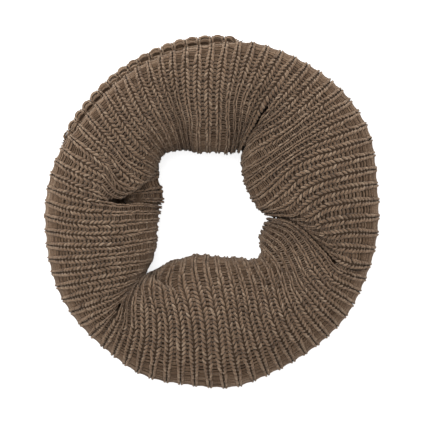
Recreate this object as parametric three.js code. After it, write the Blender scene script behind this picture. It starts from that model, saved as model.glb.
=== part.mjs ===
// An infinity scarf in chunky one-by-one rib knit: one closed loop gathered into a soft ring that lies flat.
// Millimetres, +Z up. The ring's middle is the origin and it rests on z = 0.
// Angles are in degrees, anticlockwise from +X seen from above; radii are from the ring's middle.
import * as THREE from "three";

const wall = 4;                   // knit between the ribs
const ribHeight = 2.4;            // how far a rib stands above the knit between
const legPlace = 0.24;            // each side of a rib's flat top, as a share of the rib's width
const seamGap = 0.3;              // between the stretches, and between layers
const sideHeight = 27;            // height of the widest part of the roll
const liftedSide = 0.8;           // how far that part rises with the hem, as a share of the hem's lift
const shoulder = 0.9;             // fullness of the roll's shoulders: 1 is an ellipse, less is fuller
const cornerWidth = 22;           // how far the roll rounds under, on each side
const hemTuck = 10;               // flat hem under the roll, on each side
const creaseLip = 4.5;            // softness of the lip where a stretch rolls into a crease
const creaseSlope = 0.8;          // depth gained in a crease for each millimetre of cloth that goes in
const lipRoom = 3;                // room for the ribs on each side of a crease, and how far back it starts
const lipReach = 12;
const underLip = 11;              // how far the lower layer's edge is rounded
const underTuck = 11;             // flat part of the lower layer, above and below
const grooveWidth = 18;           // half width of the grooves that the inner layers leave for the creases
const chordRoom = 2.5;            // room that they leave for the flat facets of the walls over them
const dentRoom = 1.5;             // how much deeper than the cloth they are dented
const ringCentre = [0.15, -0.9];  // shift of the ring's middle that centres its outline
const settlePasses = 14;          // steps, and the share of each, in which a rib's place is settled
const settleShare = 0.45;
const ribStep = 0.08;             // steps round and over the roll in which its slope is measured
const turnStep = 2;

const knitColour = 0x7d6b5a;
const shadeColour = 0x64554a;

// Outline of the roll seen from above, measured over the ribs.
const outerEdge = [
  { angle: 0, radius: 168 }, { angle: 10, radius: 169 }, { angle: 20, radius: 174 },
  { angle: 30, radius: 179 }, { angle: 42, radius: 180 }, { angle: 60, radius: 178 },
  { angle: 75, radius: 176.5 }, { angle: 85, radius: 171 }, { angle: 95, radius: 167.5 },
  { angle: 110, radius: 165 }, { angle: 125, radius: 162 }, { angle: 140, radius: 159 },
  { angle: 148, radius: 160 }, { angle: 156, radius: 165 }, { angle: 170, radius: 167.5 },
  { angle: 188, radius: 169 }, { angle: 200, radius: 172 }, { angle: 210, radius: 174 },
  { angle: 230, radius: 174 }, { angle: 248, radius: 177.5 }, { angle: 263, radius: 174.5 },
  { angle: 276, radius: 176.5 }, { angle: 290, radius: 172 }, { angle: 305, radius: 170 },
  { angle: 320, radius: 170.5 }, { angle: 340, radius: 168 },
];
const innerEdge = [
  { angle: 0, radius: 51 }, { angle: 10, radius: 43 }, { angle: 25, radius: 40 },
  { angle: 40, radius: 42 }, { angle: 50, radius: 47 }, { angle: 59.5, radius: 57.5 },
  { angle: 62.5, radius: 64.5 }, { angle: 68, radius: 65 }, { angle: 76, radius: 59.5 },
  { angle: 101, radius: 60 }, { angle: 110, radius: 66 }, { angle: 120, radius: 71 },
  { angle: 129, radius: 75 }, { angle: 140, radius: 70 }, { angle: 147, radius: 65 },
  { angle: 153, radius: 58 }, { angle: 162, radius: 52 }, { angle: 172, radius: 50 },
  { angle: 185, radius: 52 }, { angle: 197, radius: 56 }, { angle: 208, radius: 61.5 },
  { angle: 214, radius: 69 }, { angle: 218, radius: 76 }, { angle: 220, radius: 84 },
  { angle: 222, radius: 87.5 }, { angle: 225, radius: 83 }, { angle: 228, radius: 71 },
  { angle: 231, radius: 61 }, { angle: 235, radius: 56 }, { angle: 240, radius: 51 },
  { angle: 246, radius: 44.5 }, { angle: 260, radius: 41 }, { angle: 275, radius: 42 },
  { angle: 290, radius: 46 }, { angle: 300, radius: 50 }, { angle: 308, radius: 58 },
  { angle: 318, radius: 63 }, { angle: 326, radius: 57 }, { angle: 336, radius: 51 },
  { angle: 347, radius: 52 }, { angle: 352, radius: 53 }, { angle: 355.5, radius: 56 },
];
// Height of the roll's crown.
const crown = [
  { angle: 20, height: 76 }, { angle: 62, height: 70 }, { angle: 95, height: 75 },
  { angle: 150, height: 76 }, { angle: 200, height: 78 }, { angle: 224, height: 72 },
  { angle: 270, height: 78 }, { angle: 318, height: 73 }, { angle: 345, height: 72 },
];
// Where the roll's outer hem lies on the lower layer instead of the floor.
const lift = [
  { angle: 0, height: 0 }, { angle: 70, height: 0 }, { angle: 76, height: 8 },
  { angle: 83, height: 23 }, { angle: 92, height: 25 }, { angle: 146, height: 25 },
  { angle: 154, height: 18 }, { angle: 161, height: 5 }, { angle: 167, height: 0 },
];
// Outer edge of the lower layer, where it looks out from under the roll.
const underEdge = [
  { angle: 77.5, radius: 167 }, { angle: 80.5, radius: 175 }, { angle: 85, radius: 178 },
  { angle: 97, radius: 177 }, { angle: 110, radius: 174 }, { angle: 125, radius: 171 },
  { angle: 140, radius: 168.5 }, { angle: 150, radius: 168 }, { angle: 155, radius: 165.5 },
  { angle: 158.5, radius: 157 },
];

// Creases between the stretches: where each runs, and how much of its full depth it has there.
const creases = {
  upperRight: [
    { radius: 50, angle: 63, share: 1 }, { radius: 65, angle: 63.5, share: 1 },
    { radius: 80, angle: 64.5, share: 1 }, { radius: 95, angle: 63, share: 1 },
    { radius: 115, angle: 62.5, share: 0.5 }, { radius: 140, angle: 61, share: 0 },
    { radius: 170, angle: 59.6, share: 0 },
  ],
  left: [
    { radius: 50, angle: 140, share: 1 }, { radius: 66, angle: 145, share: 1 },
    { radius: 70, angle: 150, share: 1 }, { radius: 75, angle: 158, share: 1 },
    { radius: 82, angle: 165, share: 1 }, { radius: 90, angle: 169.5, share: 1 },
    { radius: 100, angle: 172.3, share: 0.8 }, { radius: 115, angle: 172.8, share: 0.3 },
    { radius: 140, angle: 170.7, share: 0 }, { radius: 170, angle: 168.5, share: 0 },
  ],
  lowerLeft: [
    { radius: 50, angle: 221.6, share: 1 }, { radius: 86, angle: 221.8, share: 1 },
    { radius: 110, angle: 222.7, share: 1 }, { radius: 125, angle: 224, share: 0.7 },
    { radius: 145, angle: 226.8, share: 0 }, { radius: 170, angle: 228.1, share: 0 },
  ],
  lowerRight: [
    { radius: 50, angle: 356, share: 1 }, { radius: 73, angle: 355, share: 1 },
    { radius: 82, angle: 353, share: 1 }, { radius: 92, angle: 350, share: 1 },
    { radius: 104, angle: 346, share: 1 }, { radius: 120, angle: 342, share: 0.8 },
    { radius: 132, angle: 338.3, share: 0.4 }, { radius: 145, angle: 337.2, share: 0 },
    { radius: 170, angle: 339.5, share: 0 },
  ],
};

// Room that the inner layers leave for what goes into each crease.
const grooveDepths = { upperRight: 25, left: 40, lowerLeft: 25, lowerRight: 25 };

// Soft troughs and dents in the roll: middle, half size round the ring, half sizes towards the rim and towards
// the hole, depth. Dents marked under spare the layer that lies over them.
const dents = [
  { angle: 109, radius: 102, around: 10, toRim: 32, toHole: 32, depth: 7 },
  { angle: 66, radius: 124, around: 9, toRim: 24, toHole: 24, depth: 5 },
  { angle: 306, radius: 82, around: 10, toRim: 22, toHole: 22, depth: 5 },
  { angle: 323, radius: 88, around: 9, toRim: 20, toHole: 20, depth: 4 },
  { angle: 234, radius: 81, around: 19, toRim: 5, toHole: 20, depth: 13 },
  { angle: 343, radius: 118, around: 12, toRim: 16, toHole: 16, depth: 4 },
  { angle: 157, radius: 64, around: 26, toRim: 15, toHole: 15, depth: 15, under: true },
];
// Turns round the section between which what is pressed in comes to sink straight down, so that the hole's
// outline stays.
const sinkTurns = { from: 110, to: 165 };

// The path of a rib over the roll: the angles at which it passes these radii. The loop has 74 ribs. A table's
// whole numbers are the middles of its ribs, its ends the grooves at which the stretch begins and stops.
const pathRadii = [170, 140, 115, 95, 75, 50];
const rimRadius = pathRadii[0];
const holeRadius = pathRadii[pathRadii.length - 1];
const rightPaths = [
  { rib: -4.5, angles: [-20.5, -22.8, -22, -20, -17, -14] },
  { rib: -4, angles: [-18, -20.3, -19.6, -17.6, -14.6, -12] },
  { rib: -3, angles: [-12.3, -14.2, -16.2, -14.8, -12, -10] },
  { rib: -2, angles: [-6.8, -8, -11, -12.2, -10, -8.5] },
  { rib: -1, angles: [-1.2, -2.3, -4.8, -9.6, -8.4, -7] },
  { rib: 0, angles: [4.3, 4.2, 3, -3.5, -6.8, -5.5] },
  { rib: 1, angles: [9.9, 10.2, 9.5, 4.8, -3.6, -4] },
  { rib: 2, angles: [15, 15.8, 16, 14, 5, 0] },
  { rib: 3, angles: [20.1, 21.3, 22.2, 22, 16, 5.5] },
  { rib: 4, angles: [25.1, 26.8, 29, 29.8, 27, 19] },
  { rib: 5, angles: [30, 32.2, 34.4, 35, 34.6, 33] },
  { rib: 6, angles: [34.7, 36.9, 38.6, 39.7, 40.8, 43] },
  { rib: 7, angles: [39.2, 41.2, 42.7, 43.8, 46, 53] },
  { rib: 8, angles: [43.6, 45.3, 46.8, 49.3, 55.5, 63] },
  { rib: 9, angles: [48, 49.6, 51.8, 57, 63.6, 68] },
  { rib: 10, angles: [52.6, 54.2, 57, 62.6, 67.5, 72] },
  { rib: 11, angles: [57.2, 58.8, 61.5, 66.5, 71, 76] },
  { rib: 11.5, angles: [59.6, 61, 64, 68.5, 73, 78] },
];
const topPaths = [
  { rib: 11.5, angles: [59.6, 61, 61, 57.5, 57, 53] },
  { rib: 12, angles: [62, 64, 66, 65.6, 65.5, 65] },
  { rib: 13, angles: [66.8, 68.7, 70.4, 69.6, 68, 67.5] },
  { rib: 14, angles: [71.7, 72.8, 74.5, 73.1, 70.3, 69.8] },
  { rib: 15, angles: [76.5, 77.4, 78.2, 76.4, 73, 72] },
  { rib: 16, angles: [81, 81.4, 81.9, 80.8, 77.5, 76] },
  { rib: 17, angles: [85.2, 86.3, 86.6, 85.9, 85.1, 84.4] },
  { rib: 18, angles: [89.8, 91.2, 91.9, 92, 92.8, 94] },
  { rib: 19, angles: [94.1, 96, 97.4, 98, 100.6, 103] },
  { rib: 20, angles: [98.5, 100.9, 102.3, 102.6, 105.4, 108.5] },
  { rib: 21, angles: [103.2, 105.6, 106.6, 106.4, 108.6, 112] },
  { rib: 22, angles: [107.8, 110, 110.6, 110.2, 111.8, 115.5] },
  { rib: 23, angles: [112.3, 114.3, 115, 114.9, 116.4, 119.5] },
  { rib: 24, angles: [116.8, 118.7, 119.6, 119.7, 121.2, 123.5] },
  { rib: 26, angles: [126, 128.7, 130, 130, 130.8, 132.5] },
  { rib: 27, angles: [130.6, 133.2, 135, 136, 137.4, 138.5] },
  { rib: 28, angles: [135.4, 138.2, 140.9, 143.9, 150, 155] },
  { rib: 29, angles: [140.6, 143.4, 146, 149.5, 158, 162] },
  { rib: 30, angles: [145.7, 148.2, 150.7, 155.7, 165, 168] },
  { rib: 31, angles: [150.8, 153.3, 155.7, 162.7, 170, 173] },
  { rib: 32, angles: [155.8, 158.6, 160.4, 167.9, 174, 177] },
  { rib: 33, angles: [160.8, 163.8, 165.5, 172, 178, 181] },
  { rib: 34, angles: [165.8, 168.6, 170.6, 176, 181.5, 184.5] },
  { rib: 34.5, angles: [168.5, 170.7, 172.8, 178, 183, 186] },
];
const leftPaths = [
  { rib: 34.5, angles: [168.5, 170.7, 172, 171, 162, 150] },
  { rib: 35, angles: [170.8, 173.3, 174.8, 174.6, 170, 160] },
  { rib: 36, angles: [175.6, 178.8, 180, 180, 178, 172] },
  { rib: 37, angles: [180.6, 183.8, 185.8, 186.2, 185.4, 185] },
  { rib: 38, angles: [185.6, 188.8, 191.2, 193, 194.3, 196] },
  { rib: 39, angles: [190.6, 194, 196.9, 199.6, 202.3, 208] },
  { rib: 40, angles: [195.6, 199.1, 202, 205.5, 210, 217] },
  { rib: 41, angles: [200.5, 204, 207.2, 211.9, 219, 226] },
  { rib: 42, angles: [205.4, 209, 213, 218.4, 226, 232] },
  { rib: 43, angles: [210.3, 213.8, 219, 225, 231, 236] },
  { rib: 44, angles: [215.2, 218.8, 223.5, 230, 235, 240] },
  { rib: 45, angles: [220.2, 222.8, 228, 234, 239, 244] },
  { rib: 46, angles: [225.4, 225.6, 232, 238, 243, 247] },
  { rib: 46.5, angles: [228.1, 226.4, 234, 240, 245, 249] },
];
const bottomPaths = [
  { rib: 46.5, angles: [228.1, 226.4, 218.5, 213.5, 209, 205] },
  { rib: 47, angles: [230.8, 228.6, 220.6, 215.6, 211.4, 208] },
  { rib: 48, angles: [235.3, 232, 223.6, 218.6, 214.5, 211.5] },
  { rib: 49, angles: [240, 236.6, 228, 221.6, 217.5, 215] },
  { rib: 50, angles: [244.8, 241.7, 234.4, 224.8, 220.5, 218.5] },
  { rib: 51, angles: [249.7, 247, 241.4, 231, 223.8, 222] },
  { rib: 52, angles: [254.7, 252.2, 247.8, 239.4, 229, 226] },
  { rib: 53, angles: [259.5, 257.4, 254.2, 248, 237, 230.5] },
  { rib: 54, angles: [264.3, 262.8, 260.3, 256, 247.6, 238] },
  { rib: 55, angles: [269.3, 268, 266.8, 264.3, 259, 249] },
  { rib: 56, angles: [274.2, 273.4, 272.9, 271.8, 269, 263] },
  { rib: 57, angles: [279.1, 278.8, 278.6, 278.4, 277.6, 276] },
  { rib: 58, angles: [284, 283.8, 283.9, 285.2, 286.2, 287] },
  { rib: 59, angles: [288.9, 288.7, 289.3, 291.4, 293.4, 295] },
  { rib: 60, angles: [293.8, 293.9, 294.9, 297.4, 301, 305] },
  { rib: 61, angles: [298.6, 298.7, 300.4, 303.9, 308.6, 313] },
  { rib: 62, angles: [303.5, 303.7, 306, 310.6, 316.6, 321.5] },
  { rib: 63, angles: [308.4, 308.8, 311.3, 316.8, 323.8, 329] },
  { rib: 64, angles: [313.1, 313.6, 315.8, 322, 330, 335.5] },
  { rib: 65, angles: [317.8, 318.4, 320.4, 327, 335.6, 341] },
  { rib: 66, angles: [322.4, 322.8, 325.2, 332.2, 341.6, 346.5] },
  { rib: 67, angles: [327.2, 327.2, 330.4, 338.4, 347.4, 351] },
  { rib: 68, angles: [332, 331.3, 336.4, 344.6, 352.4, 355] },
  { rib: 69, angles: [336.9, 335.6, 341.6, 349.2, 356, 358] },
  { rib: 69.5, angles: [339.5, 337.2, 344.6, 352, 359, 361] },
];

// The section's stops, as degrees round the roll: 0 is its outer side, 90 its crown and 180 its inner side;
// -90 and 270 are where it meets the floor, and the hems lie past them.
const hemTurn = 35;
const sectionStops = [
  -90 - hemTurn, -90, -42, 0, 24, 48, 72, 96, 120, 144, 166, 186, 225, 270, 270 + hemTurn,
];
// Below the hole's edge, the ribs spread evenly between the creases by this turn.
const spreadTurn = 262;
// How far from the crown, in turn, the ribs and the dents begin to fade and end; and the lower layer's ribs.
const ribFade = { from: 110, to: 170 };
const dentFade = { from: 90, to: 170 };
const underRibFade = { from: 30, to: 85 };
// The ribs that the lower layer spans, as it shows.
const underRibs = { first: 15, last: 31 };
// The rolled layers inside: columns round the ring, stops over it, and how far along they heed a lifted hem.
const hiddenColumns = 90;
const hiddenStops = [0, 20, 40, 60, 80, 100, 120, 140, 160, 180];
const liftLook = 5;

const radians = THREE.MathUtils.degToRad;
const { clamp, smoothstep, lerp } = THREE.MathUtils;

// Smooth curve through a table's rows that never swings past their values.
function throughRows(rows, place, value, at) {
  const last = rows.length - 1;
  if (at <= rows[0][place]) return rows[0][value];
  if (at >= rows[last][place]) return rows[last][value];
  let i = 0;
  while (rows[i + 1][place] < at) i += 1;
  const width = (k) => rows[k + 1][place] - rows[k][place];
  const slope = (k) => (rows[k + 1][value] - rows[k][value]) / width(k);
  const tangent = (k) => {
    if (k <= 0) return slope(0);
    if (k >= last) return slope(last - 1);
    const before = slope(k - 1);
    const after = slope(k);
    return before * after <= 0 ? 0 : (2 * before * after) / (before + after);
  };
  const h = width(i);
  const s = (at - rows[i][place]) / h;
  return (
    rows[i][value] * (1 + 2 * s) * (1 - s) ** 2 + rows[i + 1][value] * s * s * (3 - 2 * s)
    + h * s * (1 - s) * (tangent(i) * (1 - s) - tangent(i + 1) * s)
  );
}

// The same for a table that goes all round the ring.
function roundRing(rows, value, angle) {
  const at = ((angle % 360) + 360) % 360;
  const lastRow = rows[rows.length - 1];
  const before = { ...lastRow, angle: lastRow.angle - 360 };
  const after = { ...rows[0], angle: rows[0].angle + 360 };
  return throughRows([before, ...rows, after], "angle", value, at);
}

// Difference of two angles, from -180 to 180 degrees.
function angleBetween(angle, other) {
  return ((angle - other + 540) % 360 + 360) % 360 - 180;
}

// The angle at which a rib passes a radius.
function ribAngle(paths, rib, radius) {
  const columns = pathRadii.map((pathRadius, i) => ({
    radius: pathRadius,
    angle: throughRows(paths.map((row) => ({ rib: row.rib, angle: row.angles[i] })), "rib", "angle", rib),
  }));
  return throughRows(columns.reverse(), "radius", "angle", radius);
}

// How far the dents push the surface in at a place.
function dentDepth(angle, radius, isOver) {
  return dents.reduce((sum, dent) => {
    if (dent.under && isOver) return sum;
    const around = radians(angleBetween(angle, dent.angle)) * radius / dent.around;
    const across = (radius - dent.radius) / (radius > dent.radius ? dent.toRim : dent.toHole);
    return sum + dent.depth * Math.exp(-around * around - across * across);
  }, 0);
}

// The roll's sizes at an angle; inset moves its whole surface inward.
function sectionAt(angle, inset) {
  const outer = roundRing(outerEdge, "radius", angle) - ribHeight - inset;
  const inner = roundRing(innerEdge, "radius", angle) + ribHeight + inset;
  return {
    middle: (outer + inner) / 2,
    half: (outer - inner) / 2,
    top: roundRing(crown, "height", angle) - ribHeight - inset,
    base: roundRing(lift, "height", angle),
  };
}

// A point of the plain roll: its radius and height, and the direction into the roll.
function sectionPoint(section, turn) {
  const { middle, half, top, base } = section;
  const side = clamp(turn, 0, 180);
  const c = Math.cos(radians(side));
  const foot = base * (1 + c) / 2;
  const level = sideHeight + foot * liftedSide;
  if (turn < 0 || turn > 180) {
    const way = turn < 0 ? 1 : -1;
    const past = turn < 0 ? -turn : turn - 180;
    const bend = Math.min(past, 90);
    const run = cornerWidth * (1 - Math.cos(radians(bend))) + hemTuck * Math.max(past - 90, 0) / hemTurn;
    return {
      radius: middle + way * (half - run),
      height: foot + (level - foot) * (1 - Math.sin(radians(bend))),
    };
  }
  return {
    radius: middle + half * c,
    height: level + (top - level) * Math.sin(radians(side)) ** shoulder,
  };
}

// Puts a place of the section at an angle, pressed in by a depth. The share sinks of it goes straight down
// where the section nears the hole.
function placeOnRoll(section, turn, angle, depth, sinks) {
  const here = sectionPoint(section, turn);
  const ahead = sectionPoint(section, turn + 1);
  const behind = sectionPoint(section, turn - 1);
  const along = new THREE.Vector2(ahead.radius - behind.radius, ahead.height - behind.height).normalize();
  const down = sinks * smoothstep(turn, sinkTurns.from, sinkTurns.to);
  const room = Math.min(here.height / sideHeight, 1);
  const radius = here.radius - along.y * (1 - down) * depth;
  const height = here.height + (along.x * (1 - down) - room * down) * depth;
  return new THREE.Vector3(
    radius * Math.cos(radians(angle)),
    radius * Math.sin(radians(angle)),
    Math.max(height, 0),
  );
}

// Rolls a place on the cloth into the crease at a stretch's start (side -1) or end (side 1).
function intoCrease(crease, side, angle, radius) {
  const line = throughRows(crease, "radius", "angle", radius);
  const share = throughRows(crease, "radius", "share", radius);
  const past = side * radians(angleBetween(angle, line)) * radius;
  const rolled = creaseLip * Math.log1p(Math.exp(Math.min(past / creaseLip, 40)));
  const stay = seamGap / 2 + share * lipRoom * smoothstep(past, -lipReach, 0);
  const moved = Math.min(past - share * rolled - stay, -stay);
  const depth = share * rolled * creaseSlope;
  return { angle: line + side * THREE.MathUtils.radToDeg(moved / radius), depth };
}

// A point of a stretch's plain surface, for a rib number and a place round the section.
function stretchSurface(stretch, rib, turn) {
  const { paths, start, end } = stretch;
  const side = clamp(turn, 0, 180);
  let angle = ribAngle(paths, rib, rimRadius);
  let depth = 0;
  for (let pass = 0; pass < settlePasses; pass += 1) {
    const section = sectionAt(angle, 0);
    const radius = section.middle + section.half * Math.cos(radians(side));
    const free = ribAngle(paths, rib, radius);
    const first = intoCrease(start, -1, free, radius);
    const second = intoCrease(end, 1, free, radius);
    const aimed = free + angleBetween(first.angle, free) + angleBetween(second.angle, free);
    angle += angleBetween(aimed, angle) * settleShare;
    depth = first.depth + second.depth;
  }
  const spread = smoothstep(turn, 180, spreadTurn);
  if (spread > 0) {
    const share = (rib - paths[0].rib) / (paths[paths.length - 1].rib - paths[0].rib);
    const from = throughRows(start, "radius", "angle", holeRadius);
    const span = ((throughRows(end, "radius", "angle", holeRadius) - from) % 360 + 360) % 360;
    const edgeGap = THREE.MathUtils.radToDeg(seamGap / holeRadius);
    const hem = from + lerp(edgeGap, span - edgeGap, share);
    angle += angleBetween(hem, angle) * spread;
    depth *= 1 - spread;
  }
  const section = sectionAt(angle, 0);
  const radius = sectionPoint(section, side).radius;
  const open = 1 - smoothstep(Math.abs(turn - 90), dentFade.from, dentFade.to);
  depth += dentDepth(angle, radius, stretch.isOver) * open;
  return placeOnRoll(section, turn, angle, depth, 1);
}

// Outward direction of a surface given as a function of rib number and turn.
function outward(surface, rib, turn) {
  const round = surface(rib + ribStep, turn).sub(surface(rib - ribStep, turn));
  const over = surface(rib, turn + turnStep).sub(surface(rib, turn - turnStep));
  return round.cross(over).normalize();
}

// Joins two rows of points, given as [index, place] pairs, with a strip of triangles.
function strip(faces, one, other, flip) {
  let i = 0;
  let j = 0;
  while (i < one.length - 1 || j < other.length - 1) {
    const nextOne = i < one.length - 1 ? one[i + 1][1] : Infinity;
    const nextOther = j < other.length - 1 ? other[j + 1][1] : Infinity;
    const takeOne = nextOne <= nextOther;
    const third = takeOne ? one[i + 1][0] : other[j + 1][0];
    const corner = [one[i][0], third, other[j][0]];
    faces.push(...(flip ? corner.reverse() : corner));
    if (takeOne) i += 1;
    else j += 1;
  }
}

// A closed cloth wall: ribs in its outer points over a plain inside.
function ribbedWall(surface, firstRib, lastRib, stops, raisedAt) {
  const points = [];
  const faces = [];
  const outerColumns = [];
  const innerColumns = [];
  for (let rib = firstRib; rib <= lastRib; rib += 1) {
    innerColumns.push(rib);
    outerColumns.push([rib, 0]);
    if (rib < lastRib) outerColumns.push([rib + 0.5 - legPlace, 1], [rib + 0.5 + legPlace, 1]);
  }
  const add = (point) => points.push(point) - 1;
  const outer = outerColumns.map(([rib, raised]) => stops.map((turn) => {
    const normal = outward(surface, rib, turn);
    return add(surface(rib, turn).addScaledVector(normal, raised * raisedAt(turn)));
  }));
  const inner = innerColumns.map((rib) => stops.map((turn) => {
    const point = surface(rib, turn);
    const inward = outward(surface, rib, turn).multiplyScalar(-wall);
    const round = new THREE.Vector3(-point.y, point.x, 0).normalize();
    const sideways = inward.dot(round);
    const crosses = (rib === firstRib && sideways < 0) || (rib === lastRib && sideways > 0);
    if (crosses) inward.addScaledVector(round, -sideways);
    return add(point.add(inward));
  }));
  for (let s = 0; s < stops.length - 1; s += 1) {
    for (let c = 0; c < outer.length - 1; c += 1) {
      const [a, b, d, e] = [outer[c][s], outer[c + 1][s], outer[c + 1][s + 1], outer[c][s + 1]];
      faces.push(a, b, d, a, d, e);
    }
    for (let c = 0; c < inner.length - 1; c += 1) {
      const [a, b, d, e] = [inner[c][s], inner[c + 1][s], inner[c + 1][s + 1], inner[c][s + 1]];
      faces.push(a, d, b, a, e, d);
    }
  }
  const last = stops.length - 1;
  const along = (grid, columns, s) => grid.map((column, i) => [column[s], columns[i]]);
  const ribsOf = outerColumns.map(([rib]) => rib);
  strip(faces, along(outer, ribsOf, 0), along(inner, innerColumns, 0), true);
  strip(faces, along(outer, ribsOf, last), along(inner, innerColumns, last), false);
  const down = (column) => column.map((index, s) => [index, s]);
  strip(faces, down(outer[0]), down(inner[0]), false);
  strip(faces, down(outer[outer.length - 1]), down(inner[inner.length - 1]), true);
  return solid(points, faces);
}

function solid(points, faces) {
  const geometry = new THREE.BufferGeometry();
  const positions = points.flatMap((point) => [point.x, point.y, Math.max(point.z, 0)]);
  geometry.setAttribute("position", new THREE.Float32BufferAttribute(positions, 3));
  geometry.setIndex(faces);
  geometry.computeVertexNormals();
  return geometry;
}

function knitMaterial(colour) {
  return new THREE.MeshStandardMaterial({ color: colour, roughness: 0.95, metalness: 0 });
}

function piece(name, geometry, colour) {
  const mesh = new THREE.Mesh(geometry, knitMaterial(colour));
  mesh.name = name;
  return mesh;
}

// One stretch of the loop, from crease to crease, with both hems tucked flat under the roll. Where isOver is
// false, the next layer lies over its dents.
function makeStretch(name, paths, start, end, isOver) {
  const surface = (rib, turn) => stretchSurface({ paths, start, end, isOver }, rib, turn);
  const raised = (turn) => ribHeight * (1 - smoothstep(Math.abs(turn - 90), ribFade.from, ribFade.to));
  const ribs = paths.map((row) => row.rib);
  return piece(name, ribbedWall(surface, ribs[0], ribs[ribs.length - 1], sectionStops, raised), knitColour);
}

// The lower layer of the loop, a folded edge that looks out from under the roll's outer side.
function makeUnderLayer() {
  const { first, last } = underRibs;
  const from = underEdge[0].angle;
  const to = underEdge[underEdge.length - 1].angle;
  const surface = (rib, turn) => {
    const angle = lerp(from, to, (rib - first) / (last - first));
    const edge = throughRows(underEdge, "angle", "radius", angle) - ribHeight;
    const height = roundRing(lift, "height", angle) - seamGap;
    const bend = clamp(turn, -90, 90);
    const past = Math.max(Math.abs(turn) - 90, 0) / hemTurn;
    const run = underLip * (1 - Math.cos(radians(bend))) + underTuck * past;
    return new THREE.Vector3(
      (edge - run) * Math.cos(radians(angle)),
      (edge - run) * Math.sin(radians(angle)),
      (height / 2) * (1 + Math.sin(radians(bend))),
    );
  };
  const stops = [-90 - hemTurn, -90, -45, 0, 45, 90, 90 + hemTurn];
  const raised = (turn) => ribHeight * (1 - smoothstep(Math.abs(turn), underRibFade.from, underRibFade.to));
  return piece("under_layer", ribbedWall(surface, first, last, stops, raised), knitColour);
}

// The layers rolled up inside, as one rounded ring that fills the roll and rests on the floor.
function makeHiddenLayers() {
  const inset = wall + seamGap + chordRoom;
  const columns = [];
  for (let i = 0; i < hiddenColumns; i += 1) {
    const angle = (360 * i) / hiddenColumns;
    const section = sectionAt(angle, inset);
    const { middle, half } = section;
    const lifts = [angle - liftLook, angle, angle + liftLook].map((at) => roundRing(lift, "height", at));
    const base = Math.max(...lifts);
    const cover = sectionAt(angle, 0);
    const over = hiddenStops.map((turn) => {
      const { radius } = sectionPoint(cover, turn);
      const groove = Object.entries(creases).reduce((deepest, [name, crease]) => {
        const line = throughRows(crease, "radius", "angle", radius);
        const share = throughRows(crease, "radius", "share", radius);
        const away = radians(angleBetween(angle, line)) * radius / grooveWidth;
        return Math.max(deepest, grooveDepths[name] * share * Math.exp(-(away ** 4)));
      }, 0);
      return placeOnRoll(section, turn, angle, groove + dentRoom * dentDepth(angle, radius, false), 0);
    });
    const at = (radius, height) => new THREE.Vector3(
      radius * Math.cos(radians(angle)), radius * Math.sin(radians(angle)), height,
    );
    const shelf = inset;
    const innerFoot = middle - half + cornerWidth;
    const outerFoot = middle + half - cornerWidth;
    columns.push([
      ...over,
      at(innerFoot, shelf),
      at(innerFoot + hemTuck, shelf),
      at(innerFoot + hemTuck + chordRoom, 0),
      at(outerFoot - hemTuck - chordRoom, 0),
      at(outerFoot - hemTuck, base + shelf),
      at(outerFoot, base + shelf),
    ]);
  }
  const rows = columns[0].length;
  const faces = [];
  for (let i = 0; i < hiddenColumns; i += 1) {
    for (let s = 0; s < rows; s += 1) {
      const next = (i + 1) % hiddenColumns;
      const up = (s + 1) % rows;
      const [a, b, d, e] = [i * rows + s, next * rows + s, next * rows + up, i * rows + up];
      faces.push(a, b, d, a, d, e);
    }
  }
  return piece("hidden_layers", solid(columns.flat(), faces), shadeColour);
}

const scarf = new THREE.Group();
scarf.add(
  makeStretch("stretch_top", topPaths, creases.upperRight, creases.left, true),
  makeStretch("stretch_left", leftPaths, creases.left, creases.lowerLeft, false),
  makeStretch("stretch_bottom", bottomPaths, creases.lowerLeft, creases.lowerRight, true),
  makeStretch("stretch_right", rightPaths, creases.lowerRight, creases.upperRight, true),
  makeUnderLayer(),
  makeHiddenLayers(),
);
scarf.position.set(ringCentre[0], ringCentre[1], 0);

export default scarf;
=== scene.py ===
# Infinity scarf in chunky one-by-one rib knit: a closed loop gathered into a soft ring, seen from above.
# Sizes are millimetres and degrees. Angles go anticlockwise from +X and radii start at the ring's middle.
# Meshes are in metres.
import bpy
import numpy as np
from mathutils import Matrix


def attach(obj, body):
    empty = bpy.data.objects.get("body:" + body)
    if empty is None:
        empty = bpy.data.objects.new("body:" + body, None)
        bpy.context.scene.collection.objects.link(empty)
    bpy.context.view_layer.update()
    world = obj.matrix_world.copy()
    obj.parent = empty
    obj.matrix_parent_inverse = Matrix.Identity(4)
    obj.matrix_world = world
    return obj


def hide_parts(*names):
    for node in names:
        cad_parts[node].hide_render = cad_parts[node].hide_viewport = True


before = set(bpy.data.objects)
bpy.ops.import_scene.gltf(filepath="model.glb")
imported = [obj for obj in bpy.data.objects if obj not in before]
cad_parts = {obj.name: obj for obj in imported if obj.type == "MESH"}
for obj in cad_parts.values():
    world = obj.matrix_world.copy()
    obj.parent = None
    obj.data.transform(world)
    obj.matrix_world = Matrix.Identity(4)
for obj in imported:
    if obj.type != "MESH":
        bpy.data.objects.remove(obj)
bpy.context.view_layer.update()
print("frame loaded,", len(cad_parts), "solids")

mm = 0.001
chance = np.random.default_rng(7)

# Camera: straight down with a long lens; the square frame is this wide at the height of the outline.
camera = {"frameWidth": 425, "lookAt": (0.65, -0.4), "outlineHeight": 27, "lens": 300, "sensor": 36}


def makeCamera():
    data = bpy.data.cameras.new("camera")
    data.lens = camera["lens"]
    data.sensor_width = camera["sensor"]
    data.clip_end = 50
    distance = camera["frameWidth"] * camera["lens"] / camera["sensor"]
    eye = bpy.data.objects.new("camera", data)
    x, y = camera["lookAt"]
    eye.location = (x * mm, y * mm, (camera["outlineHeight"] + distance) * mm)
    bpy.context.collection.objects.link(eye)
    bpy.context.scene.camera = eye


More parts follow.
